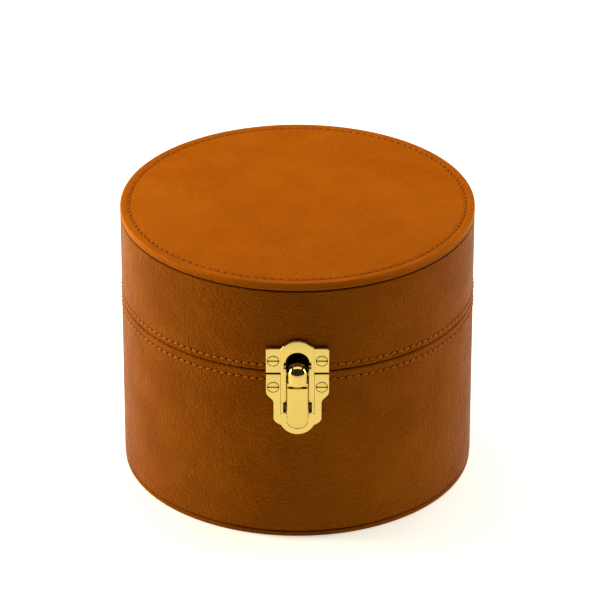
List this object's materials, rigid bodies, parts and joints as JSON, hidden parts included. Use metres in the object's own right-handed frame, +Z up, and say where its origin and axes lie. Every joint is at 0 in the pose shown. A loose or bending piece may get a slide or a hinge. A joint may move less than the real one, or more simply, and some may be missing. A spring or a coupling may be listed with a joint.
{
  "type": "jewellery case",
  "caption": "Round tan leather jewellery case with a stitched padded lid on a rear hinge, a brass lever clasp, a suede-lined well and a lift-out ring tray.",
  "frame": {"origin": "centre of the underside, on the surface the case stands on", "axes": "+Z up, -Y towards the clasp in front, +Y towards the hinge, +X to the right seen from the front"},
  "size_m": [0.16, 0.1773, 0.1299],
  "materials": {
    "leather_wall": "tan full-grain leather, fine pebbled grain, satin gloss, stitched rims",
    "leather_top": "tan full-grain leather, smooth fine grain, satin gloss, stitched rim, lightly padded",
    "leather_base": "tan leather-covered board, worn matte on the underside",
    "bentwood": "raw thin bentwood and board",
    "suede": "pale beige suede-cloth lining, fine nap",
    "foam": "soft wadding under the top leather",
    "brass": "polished gold-coloured brass",
    "mirror_glass": "plain silvered mirror"
  },
  "bodies": {
    "base": {"bottom_disc": "leather_base", "base_shell": "bentwood", "base_floor": "bentwood", "base_leather": "leather_wall", "neck_ring": "suede", "well_ring": "suede", "well_floor_pad": "suede", "clasp_base_plate": "brass", "clasp_catch_spring": "brass", "hinge_leaf_base": "brass", "hinge_pin": "brass", "clasp_screw_base_left": "brass", "clasp_screw_base_right": "brass", "hinge_screw_base_left": "brass", "hinge_screw_base_right": "brass"},
    "lid": {"lid_shell": "bentwood", "lid_ceiling": "bentwood", "lid_leather": "leather_wall", "lid_top_board": "bentwood", "lid_top_foam": "foam", "lid_top_leather": "leather_top", "lid_lining": "suede", "lid_headliner": "suede", "lid_mirror": "mirror_glass", "lid_mirror_frame": "brass", "clasp_lid_plate": "brass", "clasp_pivot_pin": "brass", "hinge_leaf_lid": "brass", "clasp_screw_lid_left": "brass", "clasp_screw_lid_right": "brass", "hinge_screw_lid_left": "brass", "hinge_screw_lid_right": "brass"},
    "lever": {"clasp_lever": "brass"},
    "tray": {"tray_shell": "suede", "tray_divider_long": "suede", "tray_divider_cross": "suede", "ring_roll_1": "suede", "ring_roll_2": "suede", "ring_roll_3": "suede", "ring_roll_4": "suede", "ring_roll_5": "suede", "tray_pad_left": "suede", "tray_pad_right": "suede", "tray_tab_left": "leather_wall", "tray_tab_right": "leather_wall"}
  },
  "joints": [
    {"name": "lid_hinge", "type": "hinge", "parent": "base", "child": "lid", "pos_m": [0, 0.083, 0.0846], "axis": [-1, 0, 0], "range_deg": [0, 95], "deforming": ["clasp_catch_spring"]},
    {"name": "clasp_lever_pivot", "type": "hinge", "parent": "lid", "child": "lever", "pos_m": [0, -0.0831, 0.0856], "axis": [-1, 0, 0], "range_deg": [0, 90]},
    {"name": "tray_lift", "type": "slide", "parent": "base", "child": "tray", "axis": [0, 0, 1], "range_m": [0, 0.027]}
  ]
}
